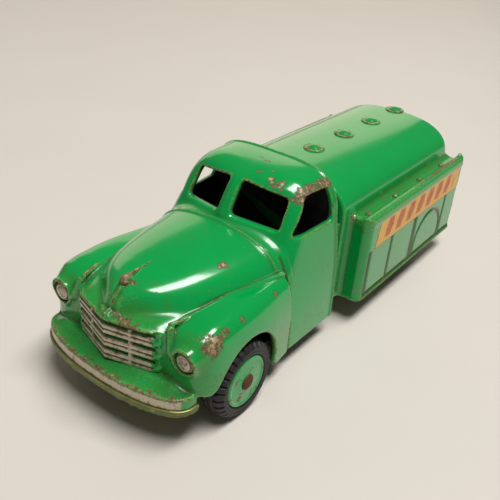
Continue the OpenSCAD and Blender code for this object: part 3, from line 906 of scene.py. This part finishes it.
def tinplate():
    """Thin olive paint on pressed tinplate, rubbed to the metal on its edges."""
    m = Shader("base_paint")
    grain, coarse = m.noise(2.5, 5, 0.7), m.noise(0.5, 5, 0.65)
    streak = m.noise(0.7, 3, 0.6, stretch=(1, 0.12, 1))
    colour = m.mix(m.noise(0.12, 3), linear(70, 92, 34), linear(104, 120, 44))
    colour = m.mix(m.math("MULTIPLY", m.step(streak, 0.55, 0.7), 0.5), colour, linear(138, 132, 62))
    noise = m.math("MULTIPLY_ADD", coarse, 0.6, m.math("MULTIPLY", grain, 0.3))
    worn = m.math("ADD", m.math("MULTIPLY", m.attribute("edge"), 0.42), noise)
    bare = m.step(worn, 0.66, 0.8)
    colour = m.mix(m.math("MULTIPLY", bare, 0.8), colour, linear(186, 178, 112))
    rust = m.step(m.noise(0.9, 6, 0.75), 0.6, 0.68)
    colour = m.mix(m.math("MULTIPLY", rust, 0.7), colour, linear(84, 56, 30))
    m.bump(m.math("ADD", grain, m.math("MULTIPLY", coarse, 0.6)), 0.35, 0.05)
    return m.finish(Base_Color=colour, Roughness=m.blend(bare, 0.42, 0.3),
                    Metallic=m.math("MULTIPLY", bare, 0.7))


PLATE_GRID = 0.36
detail("base_plate_sheet", base_plate, steps((0, 20.6, PLATE_GRID)),
       steps((-0.8, 15, PLATE_GRID), (15, 23, 0.24), (23, 89, PLATE_GRID), (89, 97, 0.24),
             (97, 110, PLATE_GRID)),
       steps((5.2, 7.2, 0.24), (7.2, 10.8, 0.14)), tinplate(), "base_paint", triangles=120000,
       node="base_plate")


# ---------------------------------------------------------------- wheels and axles
def revolve(name, outline, centre, side, segments, closed=True, swell=None):
    """Turned piece about the X axis. The outline holds (distance outward from the middle, radius) points."""
    outline = np.array(outline, float)
    angles = segments if hasattr(segments, "__len__") else np.linspace(0, 2 * np.pi, segments, endpoint=False)
    n, m = len(angles), len(outline)
    out, radius = outline.T
    radii = np.repeat(radius[None], n, 0)
    if swell is not None:
        radii = radii + swell(np.asarray(angles)[:, None], out[None], radii)
    points = np.stack([centre[0] + side * np.repeat(out[None], n, 0),
                       centre[1] + radii * np.cos(np.asarray(angles))[:, None],
                       centre[2] + radii * np.sin(np.asarray(angles))[:, None]], 2).reshape(-1, 3)
    faces = []
    last = m if closed else m - 1
    for i in range(n):
        for j in range(last):
            a, b = i * m + j, i * m + (j + 1) % m
            c, d = ((i + 1) % n) * m + (j + 1) % m, ((i + 1) % n) * m + j
            faces.append((a, b, c, d) if side > 0 else (a, d, c, b))
    return mesh_object(name, points, faces)


def smooth_outline(corners, radius, steps_per_corner=4):
    """Closed outline with its corners rounded."""
    pts = np.array(corners, float)
    result = []
    for i in range(len(pts)):
        before, here, after = pts[i - 1], pts[i], pts[(i + 1) % len(pts)]
        to_before, to_after = before - here, after - here
        reach = min(radius, np.linalg.norm(to_before) * 0.45, np.linalg.norm(to_after) * 0.45)
        a = here + to_before / np.linalg.norm(to_before) * reach
        b = here + to_after / np.linalg.norm(to_after) * reach
        for t in np.linspace(0, 1, steps_per_corner):
            result.append((1 - t) ** 2 * a + 2 * t * (1 - t) * here + t * t * b)
    return result


def rubber():
    m = Shader("tyre_rubber")
    grain, cloud = m.noise(2.2, 5, 0.7), m.noise(0.35, 4, 0.6)
    colour = m.mix(cloud, linear(22, 21, 21), linear(38, 36, 35))
    dust = m.step(m.math("MULTIPLY_ADD", grain, 0.5, m.math("MULTIPLY", cloud, 0.6)), 0.58, 0.8)
    colour = m.mix(m.math("MULTIPLY", dust, 0.35), colour, linear(92, 86, 80))
    m.bump(grain, 0.35, 0.05)
    return m.finish(Base_Color=colour, Roughness=m.blend(cloud, 0.42, 0.62))


def rusty_steel():
    m = Shader("rusty_steel")
    grain, coarse = m.noise(3.0, 6, 0.7), m.noise(0.9, 4, 0.6)
    colour = m.mix(coarse, linear(74, 40, 20), linear(118, 72, 40))
    bare = m.step(grain, 0.6, 0.72)
    colour = m.mix(m.math("MULTIPLY", bare, 0.6), colour, linear(150, 132, 110))
    m.bump(grain, 0.6, 0.06)
    return m.finish(Base_Color=colour, Roughness=m.blend(bare, 0.7, 0.4),
                    Metallic=m.math("MULTIPLY_ADD", bare, 0.4, 0.3))


RUBBER = rubber()
STEEL = rusty_steel()
HUB_PAINT = enamel("hub_enamel", False)
HUB_R = (box_mm("hub_front_left")[1][2] - box_mm("hub_front_left")[0][2]) / 2
BLOCKS = 30
BLOCK_STEPS = (0.0, 0.05, 0.24, 0.30, 0.36, 0.62, 0.90, 0.95)
TREAD_ANGLES = [2 * math.pi * (i + part) / BLOCKS for i in range(BLOCKS) for part in BLOCK_STEPS]


def tread(angle, out, radius):
    """Slots across each shoulder of the tread."""
    part = (angle / (2 * math.pi) * BLOCKS) % 1
    slot = 1 - ramp(np.abs(part - 0.12), 0.13, 0.19)
    tread_r = FRONT_WHEEL["radius"]
    shoulder = ramp(np.abs(out), 0.9, 1.15) * ramp(radius, tread_r - 1.25, tread_r - 0.75)
    groove = bump(np.abs(out) - 0.75, 0.16) * (radius > FRONT_WHEEL["radius"] - 0.3)
    return -0.62 * slot * shoulder - 0.28 * groove


def tyre_outline(half, r):
    seat = HUB_R - 0.33
    corners = [(half - 1.32, seat), (half - 1.02, HUB_R + 0.05), (half - 0.4, HUB_R + 0.05),
               (half - 0.12, HUB_R + 0.3),
               (half - 0.02, HUB_R + 0.75), (half - 0.16, HUB_R + 0.95), (half - 0.02, HUB_R + 1.15), (half, 6.8),
               (half - 0.3, 7.25), (half - 0.95, r - 0.12), (half - 1.6, r), (0.95, r), (0.55, r),
               (-0.55, r), (-0.95, r), (1.6 - half, r), (0.95 - half, r - 0.12), (0.3 - half, 7.25),
               (-half, 6.8), (0.12 - half, HUB_R + 0.35),
               (0.45 - half, HUB_R + 0.05), (1.68 - half, HUB_R + 0.05), (2.12 - half, seat)]
    return smooth_outline(corners, 0.22, 3)


def hub_outline(half):
    seat = HUB_R - 0.35
    corners = [(-half - 0.6, 0.92), (-half - 0.6, 2.2), (-half + 1.2, 2.3), (-half + 1.2, HUB_R),
               (-half + 1.7, HUB_R), (-half + 2.1, seat), (half - 1.3, seat), (half - 1.0, HUB_R),
               (half - 0.3, HUB_R), (half - 0.06, HUB_R - 0.3),
               (half - 0.06, 4.7), (half - 0.22, 4.5), (half - 0.12, 3.0), (half - 0.02, 1.9), (half - 0.02, 0.92)]
    return smooth_outline(corners, 0.16, 3)


def axle_outline(half):
    """Open outline from one domed end to the other."""
    end = [(half + 0.42, 0.0), (half + 0.4, 0.45), (half + 0.3, 0.95), (half + 0.08, 1.42), (half - 0.12, 1.6),
           (half - 0.34, 1.55), (half - 0.4, 1.2), (half - 0.4, 0.85)]
    return end + [(-out, r) for out, r in reversed(end)]


for end, wheel in (("front", FRONT_WHEEL), ("rear", REAR_WHEEL)):
    half = wheel["width"] / 2
    axle = revolve(f"{end}_axle_wire", axle_outline(wheel["face"] + 0.2), (0, wheel["s"], wheel["z"]), 1, 40,
                   closed=False)
    axle.data.materials.append(STEEL)
    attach(axle, f"{end}_axle")
    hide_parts(f"{end}_axle")
    for side_name, side in (("left", 1), ("right", -1)):
        centre = (side * (wheel["face"] - half), wheel["s"], wheel["z"])
        where = f"{end}_{side_name}"
        tyre = revolve(f"block_tyre_{where}", tyre_outline(half, wheel["radius"]), centre, side, TREAD_ANGLES,
                       swell=tread)
        hub = revolve(f"wheel_disc_{where}", hub_outline(half), centre, side, 96)
        for obj, material, node, slot in ((tyre, RUBBER, f"tyre_{where}", "tyre_rubber"),
                                          (hub, HUB_PAINT, f"hub_{where}", "hub_paint")):
            obj.data.materials.append(material)
            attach(obj, f"wheel_{where}")
            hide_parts(node)


# ---------------------------------------------------------------- transfers
def transfer_material():
    """Varnished yellow film with a row of slanted red lozenges and a thin border, worn through in places."""
    m = Shader("transfer_film")
    split = m.add("ShaderNodeSeparateXYZ")
    m.put(split.inputs[0], m.where)
    y = m.math("DIVIDE", split.outputs[1], MM)
    z = m.math("DIVIDE", split.outputs[2], MM)
    low, high = box_mm("transfer_left")
    lean = m.math("MULTIPLY_ADD", z, -0.3, y)
    pitch = 5.4
    phase = m.math("FRACT", m.math("DIVIDE", m.math("SUBTRACT", lean, low[1] - 3.2), pitch))
    across = m.math("ABSOLUTE", m.math("SUBTRACT", phase, 0.5))
    up = m.math("ABSOLUTE", m.math("SUBTRACT", z, (low[2] + high[2]) / 2))
    fray = m.math("MULTIPLY_ADD", m.noise(1.4, 4), 0.12, -0.06)
    lozenge = m.math("ADD", m.math("ADD", across, m.math("MULTIPLY", up, 0.045)), fray)
    in_lozenge = m.math("MULTIPLY", m.math("SUBTRACT", 1.0, m.step(lozenge, 0.31, 0.335)),
                        m.math("SUBTRACT", 1.0, m.step(up, 2.2, 2.35)))
    rear_end = m.math("SUBTRACT", 1.0, m.step(y, high[1] - 3.1, high[1] - 3.0))
    ends = m.math("MULTIPLY", m.step(lean, low[1] - 3.0, low[1] - 2.9), rear_end)
    in_lozenge = m.math("MULTIPLY", in_lozenge, ends)
    yellow = m.mix(m.noise(0.3, 5, 0.6), linear(250, 200, 92), linear(236, 176, 66))
    red = m.mix(m.noise(0.8, 5, 0.6), linear(200, 36, 8), linear(198, 74, 24))
    faded = m.step(m.noise(1.0, 5, 0.7), 0.36, 0.62)
    colour = m.mix(m.math("MULTIPLY", in_lozenge, m.math("MULTIPLY_ADD", faded, -0.3, 0.98)), yellow, red)
    edge_band = m.step(up, 3.15, 3.3)
    colour = m.mix(m.math("MULTIPLY", edge_band, 0.55), colour, linear(196, 150, 78))
    lost = m.step(m.math("MULTIPLY_ADD", edge_band, 0.08, m.noise(1.3, 6, 0.75)), 0.66, 0.69)
    colour = m.mix(m.math("MULTIPLY", lost, 0.85), colour, GREEN_PALE)
    stain = m.step(m.noise(0.5, 5, 0.7), 0.55, 0.75)
    colour = m.mix(m.math("MULTIPLY", stain, 0.25), colour, linear(186, 128, 48))
    m.bump(m.math("SUBTRACT", m.noise(2.0, 4), lost), 0.25, 0.03)
    return m.finish(Base_Color=colour, Roughness=m.blend(stain, 0.42, 0.55), Coat_Weight=0.08,
                    Coat_Roughness=0.3)


def transfer(side_name, side, material):
    """Thin film on the upper band of a side box, with a sloping front end and slightly uneven edges."""
    low, high = box_mm(f"transfer_{side_name}")
    rows, columns = 24, 150
    rng = np.random.default_rng(7)
    top_wave, foot_wave = (np.convolve(rng.normal(0, 0.07, columns + 9), np.ones(9) / 9, "valid")
                           for _ in range(2))
    front = []
    for i in range(rows):
        v = i / (rows - 1)
        u = np.linspace(0, 1, columns)
        y = (low[1] + 1.6 * v) * (1 - u) + high[1] * u
        z = (low[2] + foot_wave[:columns]) * (1 - v) + (high[2] - 0.15 + top_wave[:columns]) * v
        lift = 0.05 + 0.012 * np.sin(7 * u * np.pi + 5 * v)
        front.append(np.stack([np.full(columns, SIDE_X) + lift, y - FRONT, z], 1))
    front = np.concatenate(front)
    back = front - [0.045, 0, 0]
    points = np.concatenate([front, back]) * [side, 1, 1]
    count = rows * columns
    faces = [(i * columns + j, i * columns + j + 1, (i + 1) * columns + j + 1, (i + 1) * columns + j)
             for i in range(rows - 1) for j in range(columns - 1)]
    faces += [tuple(count + c for c in reversed(face)) for face in list(faces)]
    rim = ([j for j in range(columns)] + [i * columns + columns - 1 for i in range(1, rows)]
           + [(rows - 1) * columns + j for j in range(columns - 2, -1, -1)] + [i * columns for i in range(rows - 2, 0, -1)])
    faces += [(b, a, a + count, b + count) for a, b in zip(rim, rim[1:] + rim[:1])]
    if side < 0:
        faces = [tuple(reversed(face)) for face in faces]
    obj = mesh_object(f"side_transfer_{side_name}", points, faces)
    obj.data.materials.append(material)
    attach(obj, "body")
    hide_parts(f"transfer_{side_name}")


FILM = transfer_material()
transfer("left", 1, FILM)
transfer("right", -1, FILM)


# ---------------------------------------------------------------- stage, light and camera
camera_data = bpy.data.cameras.new("camera")
camera = bpy.data.objects.new("camera", camera_data)
bpy.context.scene.collection.objects.link(camera)
camera_data.lens = 48.4
camera_data.sensor_width = 36
camera_data.clip_start = 0.01
CAMERA_AT = Vector((73.37, -116.06, 91.32)) * MM
right = Vector((0.79244, 0.60543, 0.07410))
forward = Vector((-0.49430, 0.70861, -0.50353))
up = right.cross(forward)
turn = Matrix((right, up, -forward)).transposed().to_4x4()
camera.matrix_world = Matrix.Translation(CAMERA_AT) @ turn
bpy.context.scene.camera = camera


def floor_material():
    m = Shader("pale_floor")
    tone = m.mix(m.noise(0.02, 4), linear(232, 224, 213), linear(226, 218, 207))
    return m.finish(Base_Color=tone, Roughness=0.55)


def floor():
    half, rise = 1.2, 0.8
    data = bpy.data.meshes.new("floor")
    corners = [(-half, -half, 0), (half, -half, 0), (half, half, 0), (-half, half, 0)]
    data.from_pydata(corners, [], [(0, 1, 2, 3)])
    obj = bpy.data.objects.new("floor", data)
    bpy.context.scene.collection.objects.link(obj)
    data.materials.append(floor_material())


floor()


def area_light(name, at, aim, size, power, colour=(1, 1, 1)):
    """Rectangular soft light of the given (width, height) in metres."""
    data = bpy.data.lights.new(name, "AREA")
    data.shape = "RECTANGLE"
    data.size, data.size_y = size
    data.energy = power
    data.color = colour
    obj = bpy.data.objects.new(name, data)
    bpy.context.scene.collection.objects.link(obj)
    direction = Vector(aim) - Vector(at)
    turn = direction.to_track_quat("-Z", "Y").to_matrix().to_4x4()
    obj.matrix_world = Matrix.Translation(Vector(at)) @ turn


area_light("key", (0.22, 0.03, 0.85), (0, 0, 0.02), (0.66, 0.24), 7.4)
area_light("window", (-0.62, 0.62, 0.26), (0, 0, 0.0), (1.1, 0.46), 1.5, (1, 0.88, 0.68))
world = bpy.data.worlds.new("studio")
bpy.context.scene.world = world
world.use_nodes = True
world.node_tree.nodes["Background"].inputs[0].default_value = (0.97, 0.95, 0.93, 1)
world.node_tree.nodes["Background"].inputs[1].default_value = 0.1
bpy.context.scene.view_settings.view_transform = "Standard"
